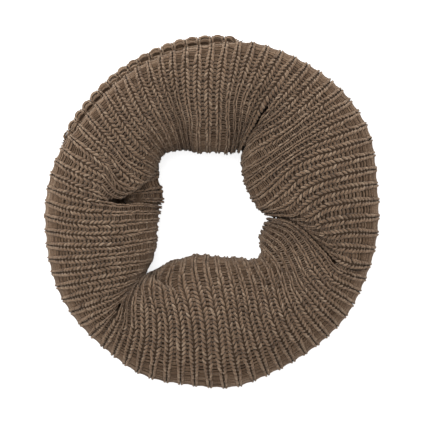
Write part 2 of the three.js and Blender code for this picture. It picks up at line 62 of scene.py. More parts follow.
# Studio: a pale floor, a room whose walls are brighter than its ceiling, and soft boxes. Places and sizes
# here are metres; the room's brightness is given from straight below to straight above.
studio = {
    "floorColour": (0.93, 0.93, 0.93),
    "floorGlow": 0.75,
    "floorRoughness": 0.9,
    "floorSize": 6,
    "floorLevel": -0.0005,
    "room": [(0.0, 0.05), (0.42, 0.35), (0.5, 3.1), (0.56, 2.5), (0.64, 0.85), (0.78, 0.5), (1.0, 0.6)],
    "window": 0.4,      # how much brighter the wall at the picture's top is than the one at its foot
    "boxes": [
        {"name": "softBoxAbove", "place": (-0.4, 0.5, 1.9), "size": 1.2, "watts": 12},
        {"name": "softBoxSide", "place": (-1.4, 0.9, 0.8), "size": 1.0, "watts": 4},
    ],
}


def makeStudio():
    world = bpy.data.worlds.new("room")
    world.use_nodes = True
    tree = world.node_tree
    way = tree.nodes.new("ShaderNodeTexCoord")
    split = tree.nodes.new("ShaderNodeSeparateXYZ")
    height = tree.nodes.new("ShaderNodeMapRange")
    height.inputs["From Min"].default_value = -1
    walls = tree.nodes.new("ShaderNodeValToRGB")
    stops = walls.color_ramp.elements
    for stop, (place, light) in zip([stops[0], stops[1]], (studio["room"][0], studio["room"][-1])):
        stop.position = place
        stop.color = (light, light, light, 1)
    for place, light in studio["room"][1:-1]:
        stops.new(place).color = (light, light, light, 1)
    tree.links.new(way.outputs["Generated"], split.inputs[0])
    tree.links.new(split.outputs["Z"], height.inputs["Value"])
    tree.links.new(height.outputs["Result"], walls.inputs["Fac"])
    facing = tree.nodes.new("ShaderNodeMath")
    facing.operation = "MULTIPLY_ADD"
    facing.inputs[1].default_value = studio["window"]
    facing.inputs[2].default_value = 1
    tree.links.new(walls.outputs["Color"], tree.nodes["Background"].inputs["Color"])
    tree.links.new(split.outputs["Y"], facing.inputs[0])
    tree.links.new(facing.outputs[0], tree.nodes["Background"].inputs["Strength"])
    bpy.context.scene.world = world
    bpy.context.scene.view_settings.view_transform = "Standard"
    for box in studio["boxes"]:
        light = bpy.data.lights.new(box["name"], "AREA")
        light.size = box["size"]
        light.energy = box["watts"]
        lamp = bpy.data.objects.new(box["name"], light)
        lamp.location = box["place"]
        lamp.rotation_mode = "QUATERNION"
        lamp.rotation_quaternion = lamp.location.to_track_quat("Z", "Y")
        bpy.context.collection.objects.link(lamp)
    bpy.ops.mesh.primitive_plane_add(size=studio["floorSize"], location=(0, 0, studio["floorLevel"]))
    floor = bpy.context.object
    floor.name = "floor"
    paper = bpy.data.materials.new("floorPaper")
    paper.use_nodes = True
    shader = paper.node_tree.nodes["Principled BSDF"]
    shader.inputs["Base Color"].default_value = (*studio["floorColour"], 1)
    shader.inputs["Roughness"].default_value = studio["floorRoughness"]
    shader.inputs["Emission Color"].default_value = (1, 1, 1, 1)
    shader.inputs["Emission Strength"].default_value = studio["floorGlow"]
    floor.data.materials.append(paper)
    floor.visible_diffuse = False    # the wool takes its light from the room alone


makeCamera()
makeStudio()
print("camera and studio set")

# Outline of the roll seen from above, over the ribs: angle, radius.
outerEdge = [
    (0, 168), (10, 169), (20, 174),
    (30, 179), (42, 180), (60, 178),
    (75, 176.5), (85, 171), (95, 167.5),
    (110, 165), (125, 162), (140, 159),
    (148, 160), (156, 165), (170, 167.5),
    (188, 169), (200, 172), (210, 174),
    (230, 174), (248, 177.5), (263, 174.5),
    (276, 176.5), (290, 172), (305, 170),
    (320, 170.5), (340, 168),
]
innerEdge = [
    (0, 51), (10, 43), (25, 40),
    (40, 42), (50, 47), (59.5, 57.5),
    (62.5, 64.5), (68, 65), (76, 59.5),
    (101, 60), (110, 66), (120, 71),
    (129, 75), (140, 70), (147, 65),
    (153, 58), (162, 52), (172, 50),
    (185, 52), (197, 56), (208, 61.5),
    (214, 69), (218, 76), (220, 84),
    (222, 87.5), (225, 83), (228, 71),
    (231, 61), (235, 56), (240, 51),
    (246, 44.5), (260, 41), (275, 42),
    (290, 46), (300, 50), (308, 58),
    (318, 63), (326, 57), (336, 51),
    (347, 52), (352, 53), (355.5, 56),
]
# Height of the roll's crown: angle, height.
crown = [
    (20, 76), (62, 70), (95, 75),
    (150, 76), (200, 78), (224, 72),
    (270, 78), (318, 73), (345, 72),
]
# Where the roll's outer hem lies on the lower layer instead of the floor: angle, height.
lift = [
    (0, 0), (70, 0), (76, 8),
    (83, 23), (92, 25), (146, 25),
    (154, 18), (161, 5), (167, 0),
]
# Outer edge of the lower layer, where it looks out from under the roll: angle, radius.
underEdge = [
    (77.5, 167), (80.5, 175), (85, 178),
    (97, 177), (110, 174), (125, 171),
    (140, 168.5), (150, 168), (155, 165.5),
    (158.5, 157),
]

# Creases between the stretches: radius, angle, and how much of its full depth the crease has there.
creases = {
    "upperRight": [
        (50, 63, 1), (65, 63.5, 1),
        (80, 64.5, 1), (95, 63, 1),
        (115, 62.5, 0.5), (140, 61, 0),
        (170, 59.6, 0),
    ],
    "left": [
        (50, 136, 1), (68, 142, 1),
        (70, 150, 1), (73, 158, 1),
        (78, 164, 1), (84, 168, 1),
        (92, 171, 0.7), (102, 172.6, 0.25),
        (114, 172.8, 0), (140, 170.7, 0),
        (170, 168.5, 0),
    ],
    "leftLip": [
        (50, 168.5, 1), (66, 168.5, 1),
        (78, 170, 1), (90, 172.5, 0.7),
        (102, 173.2, 0.25), (114, 172.8, 0),
        (140, 170.7, 0), (170, 168.5, 0),
    ],
    "lowerLeft": [
        (50, 221.6, 1), (86, 221.8, 1),
        (110, 222.7, 1), (125, 224, 0.7),
        (145, 226.8, 0), (170, 228.1, 0),
    ],
    "lowerRight": [
        (50, 356, 1), (73, 355, 1),
        (82, 353, 1), (92, 350, 1),
        (104, 346, 1), (120, 342, 0.8),
        (132, 338.3, 0.4), (145, 337.2, 0),
        (170, 339.5, 0),
    ],
}

# Soft troughs and dents: angle and radius of the middle, half sizes round the ring, towards the rim and
# towards the hole, depth, and whether the layer that lies over them is spared.
dents = [
    (109, 102, 10, 32, 32, 7, False),
    (66, 124, 9, 24, 24, 5, False),
    (306, 82, 10, 22, 22, 5, False),
    (323, 88, 9, 20, 20, 4, False),
    (234, 81, 19, 5, 20, 13, False),
    (343, 118, 12, 16, 16, 4, False),
    (152, 62, 11, 15, 15, 15, True),
]

# Paths of the ribs over the roll: rib number, then its angle at each of these radii. The loop has 74 ribs;
# whole numbers are their middles, and a table's ends are the grooves at which the stretch begins and stops.
pathRadii = [170, 140, 115, 95, 75, 50]
rightPaths = [
    (-4.5, -20.5, -22.8, -22, -20, -17, -14),
    (-4, -18, -20.3, -19.6, -17.6, -14.6, -12),
    (-3, -12.3, -14.2, -16.2, -14.8, -12, -10),
    (-2, -6.8, -8, -11, -12.2, -10, -8.5),
    (-1, -1.2, -2.3, -4.8, -9.6, -8.4, -7),
    (0, 4.3, 4.2, 3, -3.5, -6.8, -5.5),
    (1, 9.9, 10.2, 9.5, 4.8, -3.6, -4),
    (2, 15, 15.8, 16, 14, 5, 0),
    (3, 20.1, 21.3, 22.2, 22, 16, 5.5),
    (4, 25.1, 26.8, 29, 29.8, 27, 19),
    (5, 30, 32.2, 34.4, 35, 34.6, 33),
    (6, 34.7, 36.9, 38.6, 39.7, 40.8, 43),
    (7, 39.2, 41.2, 42.7, 43.8, 46, 53),
    (8, 43.6, 45.3, 46.8, 49.3, 55.5, 63),
    (9, 48, 49.6, 51.8, 57, 63.6, 68),
    (10, 52.6, 54.2, 57, 62.6, 67.5, 72),
    (11, 57.2, 58.8, 61.5, 66.5, 71, 76),
    (11.5, 59.6, 61, 64, 68.5, 73, 78),
]
topPaths = [
    (11.5, 59.6, 61, 61, 57.5, 57, 53),
    (12, 62, 64, 66, 65.6, 65.5, 65),
    (13, 66.8, 68.7, 70.4, 69.6, 68, 67.5),
    (14, 71.7, 72.8, 74.5, 73.1, 70.3, 69.8),
    (15, 76.5, 77.4, 78.2, 76.4, 73, 72),
    (16, 81, 81.4, 81.9, 80.8, 77.5, 76),
    (17, 85.2, 86.3, 86.6, 85.9, 85.1, 84.4),
    (18, 89.8, 91.2, 91.9, 92, 92.8, 94),
    (19, 94.1, 96, 97.4, 98, 100.6, 103),
    (20, 98.5, 100.9, 102.3, 102.6, 105.4, 108.5),
    (21, 103.2, 105.6, 106.6, 106.4, 108.6, 112),
    (22, 107.8, 110, 110.6, 110.2, 111.8, 115.5),
    (23, 112.3, 114.3, 115, 114.9, 116.4, 119.5),
    (24, 116.8, 118.7, 119.6, 119.7, 121.2, 123.5),
    (26, 126, 128.7, 130, 130, 130, 131.5),
    (27, 130.6, 133.2, 135, 136, 135.5, 137.5),
    (28, 135.4, 138.2, 140.9, 143.9, 142, 145),
    (29, 140.6, 143.4, 146, 149.5, 149.5, 153.5),
    (30, 145.7, 148.2, 150.7, 155.7, 157.5, 162),
    (31, 150.8, 153.3, 155.7, 162.7, 165, 169.5),
    (32, 155.8, 158.6, 160.4, 167.9, 171.5, 175.5),
    (33, 160.8, 163.8, 165.5, 172, 177, 181),
    (34, 165.8, 168.6, 170.6, 176, 181.5, 184.5),
    (34.5, 168.5, 170.7, 172.8, 178, 183, 186),
]
leftPaths = [
    (34.5, 168.5, 170.7, 172.6, 172, 168.5, 166),
    (35, 170.8, 173.3, 174.8, 174.8, 172.5, 171),
    (36, 175.6, 178.8, 180, 180.3, 179.5, 178.5),
    (37, 180.6, 183.8, 185.8, 186.4, 186.6, 187),
    (38, 185.6, 188.8, 191.2, 193, 194.3, 196),
    (39, 190.6, 194, 196.9, 199.6, 202.3, 208),
    (40, 195.6, 199.1, 202, 205.5, 210, 217),
    (41, 200.5, 204, 207.2, 211.9, 219, 226),
    (42, 205.4, 209, 213, 218.4, 226, 232),
    (43, 210.3, 213.8, 219, 225, 231, 236),
    (44, 215.2, 218.8, 223.5, 230, 235, 240),
    (45, 220.2, 222.8, 228, 234, 239, 244),
    (46, 225.4, 225.6, 232, 238, 243, 247),
    (46.5, 228.1, 226.4, 234, 240, 245, 249),
]
bottomPaths = [
    (46.5, 228.1, 226.4, 218.5, 213.5, 209, 205),
    (47, 230.8, 228.6, 220.6, 215.6, 211.4, 208),
    (48, 235.3, 232, 223.6, 218.6, 214.5, 211.5),
    (49, 240, 236.6, 228, 221.6, 217.5, 215),
    (50, 244.8, 241.7, 234.4, 224.8, 220.5, 218.5),
    (51, 249.7, 247, 241.4, 231, 223.8, 222),
    (52, 254.7, 252.2, 247.8, 239.4, 229, 226),
    (53, 259.5, 257.4, 254.2, 248, 237, 230.5),
    (54, 264.3, 262.8, 260.3, 256, 247.6, 238),
    (55, 269.3, 268, 266.8, 264.3, 259, 249),
    (56, 274.2, 273.4, 272.9, 271.8, 269, 263),
    (57, 279.1, 278.8, 278.6, 278.4, 277.6, 276),
    (58, 284, 283.8, 283.9, 285.2, 286.2, 287),
    (59, 288.9, 288.7, 289.3, 291.4, 293.4, 295),
    (60, 293.8, 293.9, 294.9, 297.4, 301, 305),
    (61, 298.6, 298.7, 300.4, 303.9, 308.6, 313),
    (62, 303.5, 303.7, 306, 310.6, 316.6, 321.5),
    (63, 308.4, 308.8, 311.3, 316.8, 323.8, 329),
    (64, 313.1, 313.6, 315.8, 322, 330, 335.5),
    (65, 317.8, 318.4, 320.4, 327, 335.6, 341),
    (66, 322.4, 322.8, 325.2, 332.2, 341.6, 346.5),
    (67, 327.2, 327.2, 330.4, 338.4, 347.4, 351),
    (68, 332, 331.3, 336.4, 344.6, 352.4, 355),
    (69, 336.9, 335.6, 341.6, 349.2, 356, 358),
    (69.5, 339.5, 337.2, 344.6, 352, 359, 361),
]

# The roll's section and how the cloth goes into a crease.
roll = {
    "sideHeight": 27,        # height of its widest part
    "cornerWidth": 22,       # how far it rounds under, on each side
    "hemTuck": 10,           # flat hem under it
    "hemTurn": 35,           # degrees of the section that stand for the hem
    "ribHeight": 2.4,
    "creaseLip": 4.5,        # softness of the lip of a crease
    "creaseSlope": 0.8,      # depth gained for each millimetre that goes in
    "lipRoom": 1.0,          # room for the ribs on each side of a crease
    "roomTurns": (100, 150), # where that room grows less towards the hole
    "roomLost": 0.8,         # and how much of it goes
    "roomRun": 12,           # how far from the crease it begins
    "sinkTurns": (110, 165), # where what is pressed in comes to sink straight down
    "hemTurns": (180, 262),  # where the ribs straighten into the hem at the hole
    "dentTurns": (90, 170),  # how far from the crown the dents fade
    "crownPower": 0.9,       # roundness of the crown
    "footShare": 0.8,        # how much of the lift at its foot its widest part takes up
    "seamGap": 0.3,
    "centre": (0.15, -0.9),
    "settlePasses": 14,
    "settleShare": 0.45,
}


def smoothStep(value, low, high):
    t = np.clip((value - low) / (high - low), 0, 1)
    return t * t * (3 - 2 * t)


def throughKnots(knots, values, at):
    # smooth curve through the values that never swings past them; values may hold one row for each row of at
    knots = np.asarray(knots, float)
    values = np.asarray(values, float)
    slope = np.diff(values) / np.diff(knots)
    before = slope[..., :-1]
    after = slope[..., 1:]
    rises = before * after > 0
    between = np.where(rises, 2 * before * after / np.where(rises, before + after, 1), 0)
    tangent = np.concatenate([slope[..., :1], between, slope[..., -1:]], axis=-1)
    at = np.clip(at, knots[0], knots[-1])
    i = np.clip(np.searchsorted(knots, at) - 1, 0, len(knots) - 2)
    width = knots[i + 1] - knots[i]
    s = (at - knots[i]) / width
    if values.ndim == 1:
        pick = lambda table, k: table[k]
    else:
        pick = lambda table, k: np.take_along_axis(table, k, 1)
    ends = pick(values, i) * (1 + 2 * s) * (1 - s) ** 2 + pick(values, i + 1) * s * s * (3 - 2 * s)
    return ends + width * s * (1 - s) * (pick(tangent, i) * (1 - s) - pick(tangent, i + 1) * s)


def roundRing(table, angle):
    rows = np.array(table, float)
    knots = np.concatenate([[rows[-1, 0] - 360], rows[:, 0], [rows[0, 0] + 360]])
    values = np.concatenate([[rows[-1, 1]], rows[:, 1], [rows[0, 1]]])
    return throughKnots(knots, values, np.mod(angle, 360))


def angleBetween(angle, other):
    return np.mod(angle - other + 180, 360) - 180


def ribAngle(paths, rib, radius):
    rows = np.array(paths, float)
    atRadii = [throughKnots(rows[:, 0], rows[:, 1 + i], rib) for i in range(len(pathRadii))]
    return throughKnots(pathRadii[::-1], np.stack(atRadii[::-1], axis=1), radius)


def dentDepth(angle, radius, isOver):
    depth = 0
    for middleAngle, middleRadius, around, toRim, toHole, deep, spared in dents:
        if spared and isOver:
            continue
        sideways = np.radians(angleBetween(angle, middleAngle)) * radius / around
        inward = (radius - middleRadius) / np.where(radius > middleRadius, toRim, toHole)
        depth = depth + deep * np.exp(-sideways ** 2 - inward ** 2)
    return depth


def sectionAt(angle, inset=0):
    outer = roundRing(outerEdge, angle) - roll["ribHeight"] - inset
    inner = roundRing(innerEdge, angle) + roll["ribHeight"] + inset
    return {
        "middle": (outer + inner) / 2,
        "half": (outer - inner) / 2,
        "top": roundRing(crown, angle) - roll["ribHeight"] - inset,
        "base": roundRing(lift, angle),
    }


def sectionPoint(section, turn):
    # radius and height for a place round the section: 0 is its outer side, 90 the crown, 180 the inner side
    side = np.radians(np.clip(turn, 0, 180))
    foot = section["base"] * (1 + np.cos(side)) / 2
    level = roll["sideHeight"] + foot * roll["footShare"]
    past = np.where(turn < 90, np.maximum(-turn, 0), np.maximum(turn - 180, 0))
    bend = np.radians(np.minimum(past, 90))
    way = np.where(turn < 90, -1, 1)
    hem = roll["hemTuck"] * np.maximum(past - 90, 0) / roll["hemTurn"]
    run = roll["cornerWidth"] * (1 - np.cos(bend)) + hem
    radius = section["middle"] + section["half"] * np.cos(side) + way * run
    dome = (section["top"] - level) * np.abs(np.sin(side)) ** roll["crownPower"]
    height = foot + (level - foot) * (1 - np.sin(bend)) + dome
    return radius, height


def placeOnRoll(section, turn, angle, depth):
    radius, height = sectionPoint(section, turn)
    aheadRadius, aheadHeight = sectionPoint(section, turn + 1)
    behindRadius, behindHeight = sectionPoint(section, turn - 1)
    run = aheadRadius - behindRadius
    rise = aheadHeight - behindHeight
    length = np.hypot(run, rise)
    down = smoothStep(turn, *roll["sinkTurns"])
    room = np.minimum(height / roll["sideHeight"], 1)
    radius = radius - rise / length * (1 - down) * depth
    height = height + (run / length * (1 - down) - room * down) * depth
    x = radius * np.cos(np.radians(angle)) + roll["centre"][0]
    y = radius * np.sin(np.radians(angle)) + roll["centre"][1]
    return np.stack(np.broadcast_arrays(x, y, np.maximum(height, 0)), axis=-1)


def intoCrease(crease, side, angle, radius, turn):
    # what passes the crease's line turns down into it; side is 1 at the stretch's end and -1 at its start
    rows = np.array(crease, float)
    line = throughKnots(rows[:, 0], rows[:, 1], radius)
    share = throughKnots(rows[:, 0], rows[:, 2], radius)
    past = side * np.radians(angleBetween(angle, line)) * radius
    lip = roll["creaseLip"]
    rolled = lip * np.log1p(np.exp(np.minimum(past / lip, 40)))
    closing = 1 - roll["roomLost"] * smoothStep(turn, *roll["roomTurns"])
    stay = roll["seamGap"] / 2 + share * roll["lipRoom"] * closing * smoothStep(past, -roll["roomRun"], 0)
    moved = np.minimum(past - share * rolled - stay, -stay)
    return line + side * np.degrees(moved / radius), share * rolled * roll["creaseSlope"]


def stretchSurface(stretch, rib, turn):
    # points of a stretch's plain surface, one row for each rib place and one column for each turn
    paths = stretch["paths"]
    side = np.radians(np.clip(turn, 0, 180))[None, :]
    angle = np.repeat(ribAngle(paths, rib, np.full((len(rib), 1), 170.0)), len(turn), axis=1)
    for _ in range(roll["settlePasses"]):
        section = sectionAt(angle)
        radius = section["middle"] + section["half"] * np.cos(side)
        free = ribAngle(paths, rib, radius)
        firstAngle, firstDepth = intoCrease(creases[stretch["start"]], -1, free, radius, turn)
        secondAngle, secondDepth = intoCrease(creases[stretch["end"]], 1, free, radius, turn)
        aimed = free + angleBetween(firstAngle, free) + angleBetween(secondAngle, free)
        angle = angle + angleBetween(aimed, angle) * roll["settleShare"]
        depth = firstDepth + secondDepth
    spread = smoothStep(turn, *roll["hemTurns"])[None, :]
    share = ((rib - paths[0][0]) / (paths[-1][0] - paths[0][0]))[:, None]
    hemStart = creases[stretch["start"]][0][1]
    span = (creases[stretch["end"]][0][1] - hemStart) % 360
    hem = hemStart + share * span
    angle = angle + angleBetween(hem, angle) * spread
    depth = depth * (1 - spread)
    section = sectionAt(angle)
    radius, _ = sectionPoint(section, np.clip(turn, 0, 180)[None, :])
    dented = 1 - smoothStep(np.abs(turn - 90), *roll["dentTurns"])[None, :]
    depth = depth + dentDepth(angle, radius, stretch["over"]) * dented
    return placeOnRoll(section, turn[None, :], angle, depth)


# A chart of a cloth surface: its points and outward directions by rib and by row of stitches.
chart = {"ribStep": 0.125, "turnStep": 2.0, "rowsAcross": 300}


def makeChart(surface, firstRib, lastRib, firstTurn, lastTurn):
    ribs = np.linspace(firstRib, lastRib, round((lastRib - firstRib) / chart["ribStep"]) + 1)
    turns = np.linspace(firstTurn, lastTurn, round((lastTurn - firstTurn) / chart["turnStep"]) + 1)
    raw = surface(ribs, turns)
    steps = np.linalg.norm(np.diff(raw, axis=1), axis=2)
    reach = np.concatenate([np.zeros((len(ribs), 1)), np.cumsum(steps, axis=1)], axis=1)
    even = np.linspace(0, 1, chart["rowsAcross"])
    points = np.empty((len(ribs), len(even), 3))
    for r in range(len(ribs)):
        for axis in range(3):
            points[r, :, axis] = np.interp(even * reach[r, -1], reach[r], raw[r, :, axis])
    out = np.cross(np.gradient(points, axis=0), np.gradient(points, axis=1))
    out /= np.linalg.norm(out, axis=2, keepdims=True) + 1e-9
    rowCount = round(float(np.median(reach[:, -1])) / stitch["rowHeight"])
    return {"points": points, "out": out, "firstRib": firstRib, "lastRib": lastRib, "rowCount": rowCount}


def onChart(sheet, rib, row):
    # points and outward directions at rib and row places, which may be arrays of any one shape
    points = sheet["points"]
    ribCount, rowCount = points.shape[:2]
    x = (rib - sheet["firstRib"]) / (sheet["lastRib"] - sheet["firstRib"]) * (ribCount - 1)
    y = np.clip(row / sheet["rowCount"], 0, 1) * (rowCount - 1)
    i = np.clip(np.floor(x).astype(int), 0, ribCount - 2)
    j = np.clip(np.floor(y).astype(int), 0, rowCount - 2)
    fx = (x - i)[..., None]
    fy = (y - j)[..., None]

    def blend(table):
        low = table[i, j] * (1 - fx) + table[i + 1, j] * fx
        high = table[i, j + 1] * (1 - fx) + table[i + 1, j + 1] * fx
        return low * (1 - fy) + high * fy

    out = blend(sheet["out"])
    return blend(points), out / (np.linalg.norm(out, axis=-1, keepdims=True) + 1e-9)


def makeMesh(name, points, faces, material, uvs, toneAndShade):
    mesh = bpy.data.meshes.new(name)
    mesh.from_pydata(points * mm, [], faces.tolist())
    layer = mesh.uv_layers.new(name="knitPlace")
    layer.data.foreach_set("uv", np.ascontiguousarray(uvs, dtype=np.float32).ravel())
    # the tint attribute holds random tone with painted light and painted shade added
    layer = mesh.attributes.new("tint", "FLOAT", "POINT")
    layer.data.foreach_set("value", np.ascontiguousarray(toneAndShade, dtype=np.float32))
    mesh.polygons.foreach_set("use_smooth", np.ones(len(mesh.polygons), dtype=bool))
    mesh.update()
    piece = bpy.data.objects.new(name, mesh)
    bpy.context.collection.objects.link(piece)
    mesh.materials.append(material)
    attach(piece, "root")
    return piece


# Wool: one knitting yarn in a heathered taupe. Colours are linear.
wool = {
    "dark": (0.078, 0.040, 0.023),
    "middle": (0.245, 0.154, 0.094),
    "light": (0.450, 0.328, 0.230),
    "roughness": 0.92,
    "gloss": 0.15,
    "sheen": 0.4,
    "sheenRoughness": 0.55,
    "sheenTint": (0.92, 0.82, 0.70, 1),
    "heather": 900,      # how fine the colour flecks are, per metre
    "heatherMix": 0.55,  # and how much they change the colour
    "fibres": 2600,      # how fine the fibres are, per metre
    "washes": 22.0,      # how fine the wide washes of colour are, per metre
    "washMix": 0.18,
    "plies": 12.566,     # radians of the ply marks for each step along the yarn
    "plySlant": 0.9,
    "relief": 0.6,
    "reliefHeight": 0.0006,
}


def addNode(tree, kind, values=None, **settings):
    node = tree.nodes.new(kind)
    for key, value in settings.items():
        setattr(node, key, value)
    for key, value in (values or {}).items():
        node.inputs[key].default_value = value
    return node


def addMath(tree, operation, first, second=None):
    node = addNode(tree, "ShaderNodeMath", operation=operation)
    for socket, value in zip(node.inputs, (first, second)):
        if value is None:
            continue
        if isinstance(value, (int, float)):
            socket.default_value = value
        else:
            tree.links.new(value, socket)
    return node.outputs[0]


def makeWool(name, shade, twist):
    # shade scales the colours (a low one paints shade); twist is the height of the ply marks along the yarn
    material = bpy.data.materials.new(name)
    material.use_nodes = True
    tree = material.node_tree
    link = tree.links.new
    shader = tree.nodes["Principled BSDF"]
    shader.inputs["Roughness"].default_value = wool["roughness"]
    shader.inputs["Specular IOR Level"].default_value = wool["gloss"]
    shader.inputs["Sheen Weight"].default_value = wool["sheen"] * shade
    shader.inputs["Sheen Roughness"].default_value = wool["sheenRoughness"]
    shader.inputs["Sheen Tint"].default_value = wool["sheenTint"]
    place = addNode(tree, "ShaderNodeTexCoord")
    noise = "ShaderNodeTexNoise"
    flecks = addNode(tree, noise, {"Scale": wool["heather"], "Detail": 3.0, "Roughness": 0.65})
    fibres = addNode(tree, noise, {"Scale": wool["fibres"], "Detail": 2.0, "Roughness": 0.6})
    washes = addNode(tree, noise, {"Scale": wool["washes"], "Detail": 2.0})
    for texture in (flecks, fibres, washes):
        link(place.outputs["Object"], texture.inputs["Vector"])
    # tint brings random tone, painted light and painted shade into the colour
    tint = addNode(tree, "ShaderNodeAttribute", attribute_name="tint")
    fine = addMath(tree, "MULTIPLY", flecks.outputs["Fac"], wool["heatherMix"])
    wide = addMath(tree, "MULTIPLY", washes.outputs["Fac"], wool["washMix"])
    tone = addMath(tree, "ADD", addMath(tree, "ADD", fine, tint.outputs["Fac"]), wide)
    ramp = addNode(tree, "ShaderNodeValToRGB")
    stops = ramp.color_ramp.elements
    stops[0].position = 0.05
    stops[0].color = (*[c * shade for c in wool["dark"]], 1)
    stops[1].position = 0.95
    stops[1].color = (*[c * shade for c in wool["light"]], 1)
    middle = stops.new(0.5)
    middle.color = (*[c * shade for c in wool["middle"]], 1)
    link(tone, ramp.inputs["Fac"])
    link(ramp.outputs["Color"], shader.inputs["Base Color"])
    knitPlace = addNode(tree, "ShaderNodeUVMap", uv_map="knitPlace")
    split = addNode(tree, "ShaderNodeSeparateXYZ")
    link(knitPlace.outputs["UV"], split.inputs[0])
    slanted = addMath(tree, "MULTIPLY", split.outputs["X"], wool["plySlant"])
    turns = addMath(tree, "ADD", slanted, split.outputs["Y"])
    plies = addMath(tree, "SINE", addMath(tree, "MULTIPLY", turns, wool["plies"]))
    relief = addMath(tree, "ADD", addMath(tree, "MULTIPLY", plies, twist), fibres.outputs["Fac"])
    bump = addNode(tree, "ShaderNodeBump", {"Strength": wool["relief"], "Distance": wool["reliefHeight"]})
    link(relief, bump.inputs["Height"])
    link(bump.outputs["Normal"], shader.inputs["Normal"])
    return material


yarnWool = makeWool("yarnWool", 1.0, 0.35)
# a darker copy of the wool, painted shade for the cloth seen between the stitches and for the inside layers
shadedGroundWool = makeWool("shadedGroundWool", 0.45, 0.0)
print("wool mixed")


# One rib and row of the knit, in millimetres. Each row of a shape is a point of the yarn's middle and its
# half sizes: x across the rib, y along it towards the ring's middle, up, then half width and half height.
# A stitch has two legs that spread towards the middle, and two bars cross the groove beside it. The closed
# shapes are those of the rim and the hole's side, the open ones those over the crown, where it is stretched.
stitch = {
    "ribWidth": 11.7,
    "rowHeight": 4.1,
    "legClosed": [
        (0.8, -2.1, -0.6, 0.7, 0.7), (1.25, -0.9, 0.8, 1.1, 1.0), (1.7, 0.5, 1.35, 1.25, 1.15),
        (2.0, 1.9, 1.2, 1.2, 1.1), (2.2, 3.3, 0.1, 0.85, 0.85),
    ],
    "legOpen": [
        (0.9, -2.1, -1.0, 0.65, 0.65), (1.5, -1.0, 0.6, 1.0, 1.0), (2.5, 0.4, 1.35, 1.2, 1.15),
        (3.4, 1.8, 1.05, 1.15, 1.1), (4.1, 3.2, -0.7, 0.8, 0.8),
    ],
    "barClosed": [
        (-3.8, 0.5, 0.5, 0.5, 0.6), (-2.1, 0.2, 0.0, 0.62, 0.85), (0, 0.0, -0.4, 0.66, 0.9),
        (2.1, 0.2, 0.0, 0.62, 0.85), (3.8, 0.5, 0.5, 0.5, 0.6),
    ],
    "barOpen": [
        (-2.5, 1.0, -1.6, 0.6, 0.6), (-1.3, 0.6, -0.7, 0.9, 0.9), (0, 0.4, -0.3, 1.0, 1.0),
        (1.3, 0.6, -0.7, 0.9, 0.9), (2.5, 1.0, -1.6, 0.6, 0.6),
    ],
    "secondBar": 2.05,                 # how far along the rib the second bar lies
    "joinedBar": 0.9,                  # and where it joins the first, over the crown and at the rim
    "openTurns": (22, 55, 105, 145),   # turns of the section where the stitches open and close again
    "openWidths": (7.5, 11),           # and rib widths
    "narrowest": 2.6,                  # no stitch shows where a rib is narrower
    "crowdDrop": 1.2,                  # how much deeper the bars lie where the ribs crowd
    "crowdMerge": 0.1,                 # and how far the legs move together there
    "crowdShade": 0.14,                # and how much darker painted shade makes the wool there
    "crowdSqueeze": (0.35, 0.7),       # shares of the full rib width between which the ribs stop crowding
    "squeezeRange": (0.4, 1.12),       # least and greatest share of its full width that a stitch takes
    "roomRange": (0.25, 2),            # and the same for the bars
    "rimMerge": 0.3,                   # how far the legs move together at the rim
    "rimTurns": (-5, 25),              # turns of the section where that ends
    "joinTurns": (5, 25),              # and where the rim's joined bars part
    "legSides": 6,
    "barSides": 4,
    "legSpan": (-0.5, 0.5),            # how far across the ribs a leg may reach
    "barSpan": (0.05, 0.95),
    "wander": 0.24,                    # how far a stitch strays
    "liftWander": 0.6,                 # share of that for its height
    "tintSpread": 0.11,
    "deepShade": 0.28,                  # painted shade: how much darker the yarn's lowest parts are painted, where they sink into the recesses
    "deepShadeRange": (0.9, 2.6),           # height where that begins, and how far down it takes
    "probe": (0.35, 0.6),              # parts of a rib and of a row over which a place's sizes are taken
}


def yarnTemplate(shape, sides):
    # a closed piece of yarn along a shape, with its place along and round the yarn for each corner
    shape = np.array(shape, float)
    path = shape[:, :3]
    along = np.gradient(path, axis=0)
    along /= np.linalg.norm(along, axis=1, keepdims=True)
    side = np.cross(along, [0, 0, 1.0])
    side /= np.linalg.norm(side, axis=1, keepdims=True)
    up = np.cross(side, along)
    turn = np.arange(sides) * 2 * np.pi / sides
    ring = path[:, None] + shape[:, None, 3:4] * np.cos(turn)[None, :, None] * side[:, None]
    ring = ring + shape[:, None, 4:] * np.sin(turn)[None, :, None] * up[:, None]
    faces = []
    uvs = []
    for i in range(len(path) - 1):
        for k in range(sides):
            n = (k + 1) % sides
            faces.append([i * sides + k, (i + 1) * sides + k, (i + 1) * sides + n, i * sides + n])
            uvs.append([(i, k / sides), (i + 1, k / sides), (i + 1, (k + 1) / sides), (i, (k + 1) / sides)])
    end = (len(path) - 1) * sides
    for k in range(1, sides - 1, 2):
        faces.append([0, k, k + 1, k + 2])
        faces.append([end + k + 2, end + k + 1, end + k, end])
        uvs.extend([[(0, 0), (0, 0.1), (0.1, 0.1), (0.1, 0)]] * 2)
    return ring.reshape(-1, 3), np.array(faces), np.array(uvs)


def stitchFrames(sheet, rib, row):
    # for each stitch: how far one rib reaches straight across, how much the rows shear, and the row height
    ribProbe, rowProbe = stitch["probe"]
    ahead, _ = onChart(sheet, rib, row + rowProbe)
    behind, _ = onChart(sheet, rib, row - rowProbe)
    left, _ = onChart(sheet, rib - ribProbe, row)
    right, _ = onChart(sheet, rib + ribProbe, row)
    along = (ahead - behind) / (2 * rowProbe)
    rowHeight = np.linalg.norm(along, axis=-1)
    along = along / (rowHeight[..., None] + 1e-9)
    across = (right - left) / (2 * ribProbe)
    shear = np.sum(across * along, axis=-1)
    width = np.linalg.norm(across - shear[..., None] * along, axis=-1)
    return width, shear, rowHeight


